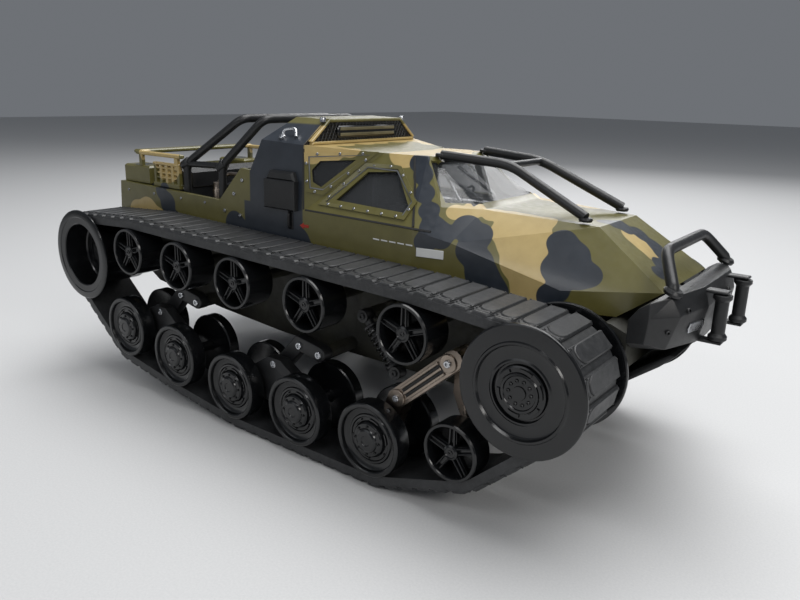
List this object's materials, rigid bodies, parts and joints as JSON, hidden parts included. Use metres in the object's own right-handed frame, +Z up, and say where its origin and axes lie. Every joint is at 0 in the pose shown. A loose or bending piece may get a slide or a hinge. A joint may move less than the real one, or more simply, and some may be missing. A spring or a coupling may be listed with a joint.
{
  "type": "tracked model vehicle chassis with body",
  "caption": "Tracked all-terrain model vehicle: faceted camouflage cab body on a hull between two rubber tracks with sprung road wheels.",
  "frame": {"origin": "on the ground, below the middle of the vehicle", "axes": "+X forward, +Y to the vehicle's left, +Z up"},
  "size_m": [0.4302, 0.1912, 0.1804],
  "materials": {
    "camo_paint": "satin camouflage print in olive, sand and dark blue-grey on moulded plastic",
    "track_rubber": "matt moulded rubber, slightly dusty",
    "black_plastic": "satin black moulded plastic",
    "gloss_black": "smooth black plastic with soft gloss",
    "bronze_metal": "dull bronze anodised arm",
    "damper_steel": "steel damper with a black coil spring",
    "clear_plastic": "clear smoked plastic",
    "motor_metal": "plain machined housing",
    "battery_sleeve": "shrink-wrapped battery pack"
  },
  "bodies": {
    "root": {"lower_hull": "camo_paint", "body_shell": "camo_paint", "windscreen": "clear_plastic", "side_window_right": "clear_plastic", "side_window_left": "clear_plastic", "roof_light_grille": "black_plastic", "front_bumper": "black_plastic", "bull_bar": "black_plastic", "windscreen_guard": "black_plastic", "roll_cage": "black_plastic", "engine_cover": "camo_paint", "skid_plate": "black_plastic", "battery_pack": "battery_sleeve", "drive_unit_right": "motor_metal", "drive_unit_left": "motor_metal", "radio_box": "black_plastic", "track_right": "track_rubber", "track_left": "track_rubber", "shock_absorber_right": "damper_steel", "shock_absorber_left": "damper_steel"},
    "drive_wheel_right": {"drive_wheel_right": "gloss_black"},
    "rear_wheel_right": {"rear_wheel_right": "gloss_black"},
    "return_roller_right_1": {"return_roller_right_1": "gloss_black"},
    "return_roller_right_2": {"return_roller_right_2": "gloss_black"},
    "return_roller_right_3": {"return_roller_right_3": "gloss_black"},
    "return_roller_right_4": {"return_roller_right_4": "gloss_black"},
    "return_roller_right_5": {"return_roller_right_5": "gloss_black"},
    "swing_arm_right_rear": {"swing_arm_right_rear": "black_plastic"},
    "bogie_right_rear": {"bogie_right_rear": "black_plastic"},
    "swing_arm_right_mid": {"swing_arm_right_mid": "black_plastic"},
    "bogie_right_mid": {"bogie_right_mid": "black_plastic"},
    "swing_arm_right_front": {"swing_arm_right_front": "bronze_metal"},
    "lead_arm_right": {"lead_arm_right": "bronze_metal"},
    "road_wheel_right_1": {"road_wheel_right_1": "black_plastic"},
    "road_wheel_right_2": {"road_wheel_right_2": "black_plastic"},
    "road_wheel_right_3": {"road_wheel_right_3": "black_plastic"},
    "road_wheel_right_4": {"road_wheel_right_4": "black_plastic"},
    "road_wheel_right_5": {"road_wheel_right_5": "black_plastic"},
    "lead_wheel_right": {"lead_wheel_right": "black_plastic"},
    "fairlead_roller_right": {"fairlead_roller_right": "black_plastic"},
    "drive_wheel_left": {"drive_wheel_left": "gloss_black"},
    "rear_wheel_left": {"rear_wheel_left": "gloss_black"},
    "return_roller_left_1": {"return_roller_left_1": "gloss_black"},
    "return_roller_left_2": {"return_roller_left_2": "gloss_black"},
    "return_roller_left_3": {"return_roller_left_3": "gloss_black"},
    "return_roller_left_4": {"return_roller_left_4": "gloss_black"},
    "return_roller_left_5": {"return_roller_left_5": "gloss_black"},
    "swing_arm_left_rear": {"swing_arm_left_rear": "black_plastic"},
    "bogie_left_rear": {"bogie_left_rear": "black_plastic"},
    "swing_arm_left_mid": {"swing_arm_left_mid": "black_plastic"},
    "bogie_left_mid": {"bogie_left_mid": "black_plastic"},
    "swing_arm_left_front": {"swing_arm_left_front": "bronze_metal"},
    "lead_arm_left": {"lead_arm_left": "bronze_metal"},
    "road_wheel_left_1": {"road_wheel_left_1": "black_plastic"},
    "road_wheel_left_2": {"road_wheel_left_2": "black_plastic"},
    "road_wheel_left_3": {"road_wheel_left_3": "black_plastic"},
    "road_wheel_left_4": {"road_wheel_left_4": "black_plastic"},
    "road_wheel_left_5": {"road_wheel_left_5": "black_plastic"},
    "lead_wheel_left": {"lead_wheel_left": "black_plastic"},
    "fairlead_roller_left": {"fairlead_roller_left": "black_plastic"}
  },
  "joints": [
    {"name": "drive_spin_right", "type": "hinge", "parent": "root", "child": "drive_wheel_right", "pos_m": [0.1571, -0.0856, 0.0763], "axis": [0, 1, 0], "continuous": true},
    {"name": "rear_spin_right", "type": "hinge", "parent": "root", "child": "rear_wheel_right", "pos_m": [-0.1821, -0.0856, 0.0832], "axis": [0, 1, 0], "continuous": true},
    {"name": "roller_spin_right_1", "type": "hinge", "parent": "root", "child": "return_roller_right_1", "pos_m": [-0.1263, -0.0856, 0.09342], "axis": [0, 1, 0], "continuous": true},
    {"name": "roller_spin_right_2", "type": "hinge", "parent": "root", "child": "return_roller_right_2", "pos_m": [-0.0766, -0.0856, 0.09214], "axis": [0, 1, 0], "continuous": true},
    {"name": "roller_spin_right_3", "type": "hinge", "parent": "root", "child": "return_roller_right_3", "pos_m": [-0.0258, -0.0856, 0.09084], "axis": [0, 1, 0], "continuous": true},
    {"name": "roller_spin_right_4", "type": "hinge", "parent": "root", "child": "return_roller_right_4", "pos_m": [0.0301, -0.0856, 0.0894], "axis": [0, 1, 0], "continuous": true},
    {"name": "roller_spin_right_5", "type": "hinge", "parent": "root", "child": "return_roller_right_5", "pos_m": [0.094, -0.0856, 0.08776], "axis": [0, 1, 0], "continuous": true},
    {"name": "arm_swing_right_rear", "type": "hinge", "parent": "root", "child": "swing_arm_right_rear", "pos_m": [-0.0831, -0.073, 0.0645], "axis": [0, 1, 0], "range_deg": [0, 11], "stiffness_Nm_per_rad": 0.3, "springref_deg": -5.73, "deforming": ["track_right"]},
    {"name": "bogie_rock_right_rear", "type": "hinge", "parent": "swing_arm_right_rear", "child": "bogie_right_rear", "pos_m": [-0.1119, -0.0803, 0.054], "axis": [0, 1, 0], "range_deg": [-4, 4], "stiffness_Nm_per_rad": 0.3, "deforming": ["track_right"]},
    {"name": "arm_swing_right_mid", "type": "hinge", "parent": "root", "child": "swing_arm_right_mid", "pos_m": [0.0233, -0.073, 0.055], "axis": [0, 1, 0], "range_deg": [0, 11], "stiffness_Nm_per_rad": 0.3, "springref_deg": -5.73, "deforming": ["track_right"]},
    {"name": "bogie_rock_right_mid", "type": "hinge", "parent": "swing_arm_right_mid", "child": "bogie_right_mid", "pos_m": [-0.0055, -0.0803, 0.0445], "axis": [0, 1, 0], "range_deg": [-4, 4], "stiffness_Nm_per_rad": 0.3, "deforming": ["track_right"]},
    {"name": "arm_swing_right_front", "type": "hinge", "parent": "root", "child": "swing_arm_right_front", "pos_m": [0.1158, -0.078, 0.077], "axis": [0, 1, 0], "range_deg": [0, 6], "stiffness_Nm_per_rad": 0.3, "springref_deg": -5.73, "deforming": ["track_right", "shock_absorber_right"]},
    {"name": "lead_swing_right", "type": "hinge", "parent": "root", "child": "lead_arm_right", "pos_m": [0.1158, -0.071, 0.077], "axis": [0, 1, 0], "range_deg": [0, 6], "stiffness_Nm_per_rad": 0.3, "springref_deg": -5.73, "deforming": ["track_right"]},
    {"name": "road_spin_right_1", "type": "hinge", "parent": "bogie_right_rear", "child": "road_wheel_right_1", "pos_m": [-0.135, -0.0856, 0.0414], "axis": [0, 1, 0], "continuous": true},
    {"name": "road_spin_right_2", "type": "hinge", "parent": "bogie_right_rear", "child": "road_wheel_right_2", "pos_m": [-0.084, -0.0856, 0.0332], "axis": [0, 1, 0], "continuous": true},
    {"name": "road_spin_right_3", "type": "hinge", "parent": "bogie_right_mid", "child": "road_wheel_right_3", "pos_m": [-0.0312, -0.0856, 0.027], "axis": [0, 1, 0], "continuous": true},
    {"name": "road_spin_right_4", "type": "hinge", "parent": "bogie_right_mid", "child": "road_wheel_right_4", "pos_m": [0.0219, -0.0856, 0.027], "axis": [0, 1, 0], "continuous": true},
    {"name": "road_spin_right_5", "type": "hinge", "parent": "swing_arm_right_front", "child": "road_wheel_right_5", "pos_m": [0.0741, -0.0856, 0.027], "axis": [0, 1, 0], "continuous": true},
    {"name": "lead_spin_right", "type": "hinge", "parent": "lead_arm_right", "child": "lead_wheel_right", "pos_m": [0.1236, -0.0856, 0.0368], "axis": [0, 1, 0], "continuous": true},
    {"name": "fairlead_spin_right", "type": "hinge", "parent": "root", "child": "fairlead_roller_right", "pos_m": [0.2135, -0.0182, 0.1035], "axis": [0, 0, 1], "continuous": true},
    {"name": "drive_spin_left", "type": "hinge", "parent": "root", "child": "drive_wheel_left", "pos_m": [0.1571, 0.0856, 0.0763], "axis": [0, 1, 0], "continuous": true},
    {"name": "rear_spin_left", "type": "hinge", "parent": "root", "child": "rear_wheel_left", "pos_m": [-0.1821, 0.0856, 0.0832], "axis": [0, 1, 0], "continuous": true},
    {"name": "roller_spin_left_1", "type": "hinge", "parent": "root", "child": "return_roller_left_1", "pos_m": [-0.1263, 0.0856, 0.09342], "axis": [0, 1, 0], "continuous": true},
    {"name": "roller_spin_left_2", "type": "hinge", "parent": "root", "child": "return_roller_left_2", "pos_m": [-0.0766, 0.0856, 0.09214], "axis": [0, 1, 0], "continuous": true},
    {"name": "roller_spin_left_3", "type": "hinge", "parent": "root", "child": "return_roller_left_3", "pos_m": [-0.0258, 0.0856, 0.09084], "axis": [0, 1, 0], "continuous": true},
    {"name": "roller_spin_left_4", "type": "hinge", "parent": "root", "child": "return_roller_left_4", "pos_m": [0.0301, 0.0856, 0.0894], "axis": [0, 1, 0], "continuous": true},
    {"name": "roller_spin_left_5", "type": "hinge", "parent": "root", "child": "return_roller_left_5", "pos_m": [0.094, 0.0856, 0.08776], "axis": [0, 1, 0], "continuous": true},
    {"name": "arm_swing_left_rear", "type": "hinge", "parent": "root", "child": "swing_arm_left_rear", "pos_m": [-0.0831, 0.073, 0.0645], "axis": [0, 1, 0], "range_deg": [0, 11], "stiffness_Nm_per_rad": 0.3, "springref_deg": -5.73, "deforming": ["track_left"]},
    {"name": "bogie_rock_left_rear", "type": "hinge", "parent": "swing_arm_left_rear", "child": "bogie_left_rear", "pos_m": [-0.1119, 0.0803, 0.054], "axis": [0, 1, 0], "range_deg": [-4, 4], "stiffness_Nm_per_rad": 0.3, "deforming": ["track_left"]},
    {"name": "arm_swing_left_mid", "type": "hinge", "parent": "root", "child": "swing_arm_left_mid", "pos_m": [0.0233, 0.073, 0.055], "axis": [0, 1, 0], "range_deg": [0, 11], "stiffness_Nm_per_rad": 0.3, "springref_deg": -5.73, "deforming": ["track_left"]},
    {"name": "bogie_rock_left_mid", "type": "hinge", "parent": "swing_arm_left_mid", "child": "bogie_left_mid", "pos_m": [-0.0055, 0.0803, 0.0445], "axis": [0, 1, 0], "range_deg": [-4, 4], "stiffness_Nm_per_rad": 0.3, "deforming": ["track_left"]},
    {"name": "arm_swing_left_front", "type": "hinge", "parent": "root", "child": "swing_arm_left_front", "pos_m": [0.1158, 0.078, 0.077], "axis": [0, 1, 0], "range_deg": [0, 6], "stiffness_Nm_per_rad": 0.3, "springref_deg": -5.73, "deforming": ["track_left", "shock_absorber_left"]},
    {"name": "lead_swing_left", "type": "hinge", "parent": "root", "child": "lead_arm_left", "pos_m": [0.1158, 0.071, 0.077], "axis": [0, 1, 0], "range_deg": [0, 6], "stiffness_Nm_per_rad": 0.3, "springref_deg": -5.73, "deforming": ["track_left"]},
    {"name": "road_spin_left_1", "type": "hinge", "parent": "bogie_left_rear", "child": "road_wheel_left_1", "pos_m": [-0.135, 0.0856, 0.0414], "axis": [0, 1, 0], "continuous": true},
    {"name": "road_spin_left_2", "type": "hinge", "parent": "bogie_left_rear", "child": "road_wheel_left_2", "pos_m": [-0.084, 0.0856, 0.0332], "axis": [0, 1, 0], "continuous": true},
    {"name": "road_spin_left_3", "type": "hinge", "parent": "bogie_left_mid", "child": "road_wheel_left_3", "pos_m": [-0.0312, 0.0856, 0.027], "axis": [0, 1, 0], "continuous": true},
    {"name": "road_spin_left_4", "type": "hinge", "parent": "bogie_left_mid", "child": "road_wheel_left_4", "pos_m": [0.0219, 0.0856, 0.027], "axis": [0, 1, 0], "continuous": true},
    {"name": "road_spin_left_5", "type": "hinge", "parent": "swing_arm_left_front", "child": "road_wheel_left_5", "pos_m": [0.0741, 0.0856, 0.027], "axis": [0, 1, 0], "continuous": true},
    {"name": "lead_spin_left", "type": "hinge", "parent": "lead_arm_left", "child": "lead_wheel_left", "pos_m": [0.1236, 0.0856, 0.0368], "axis": [0, 1, 0], "continuous": true},
    {"name": "fairlead_spin_left", "type": "hinge", "parent": "root", "child": "fairlead_roller_left", "pos_m": [0.2135, 0.0182, 0.1035], "axis": [0, 0, 1], "continuous": true}
  ],
  "couplings": [
    {"joint": "rear_spin_right", "follows": "drive_spin_right", "ratio": 0.9791},
    {"joint": "roller_spin_right_1", "follows": "drive_spin_right", "ratio": 1.3846},
    {"joint": "roller_spin_right_2", "follows": "drive_spin_right", "ratio": 1.3846},
    {"joint": "roller_spin_right_3", "follows": "drive_spin_right", "ratio": 1.3846},
    {"joint": "roller_spin_right_4", "follows": "drive_spin_right", "ratio": 1.3846},
    {"joint": "roller_spin_right_5", "follows": "drive_spin_right", "ratio": 1.3846},
    {"joint": "road_spin_right_1", "follows": "drive_spin_right", "ratio": 1.0734},
    {"joint": "road_spin_right_2", "follows": "drive_spin_right", "ratio": 1.0734},
    {"joint": "road_spin_right_3", "follows": "drive_spin_right", "ratio": 1.0734},
    {"joint": "road_spin_right_4", "follows": "drive_spin_right", "ratio": 1.0734},
    {"joint": "road_spin_right_5", "follows": "drive_spin_right", "ratio": 1.0734},
    {"joint": "lead_spin_right", "follows": "drive_spin_right", "ratio": 1.4268},
    {"joint": "rear_spin_left", "follows": "drive_spin_left", "ratio": 0.9791},
    {"joint": "roller_spin_left_1", "follows": "drive_spin_left", "ratio": 1.3846},
    {"joint": "roller_spin_left_2", "follows": "drive_spin_left", "ratio": 1.3846},
    {"joint": "roller_spin_left_3", "follows": "drive_spin_left", "ratio": 1.3846},
    {"joint": "roller_spin_left_4", "follows": "drive_spin_left", "ratio": 1.3846},
    {"joint": "roller_spin_left_5", "follows": "drive_spin_left", "ratio": 1.3846},
    {"joint": "road_spin_left_1", "follows": "drive_spin_left", "ratio": 1.0734},
    {"joint": "road_spin_left_2", "follows": "drive_spin_left", "ratio": 1.0734},
    {"joint": "road_spin_left_3", "follows": "drive_spin_left", "ratio": 1.0734},
    {"joint": "road_spin_left_4", "follows": "drive_spin_left", "ratio": 1.0734},
    {"joint": "road_spin_left_5", "follows": "drive_spin_left", "ratio": 1.0734},
    {"joint": "lead_spin_left", "follows": "drive_spin_left", "ratio": 1.4268}
  ]
}
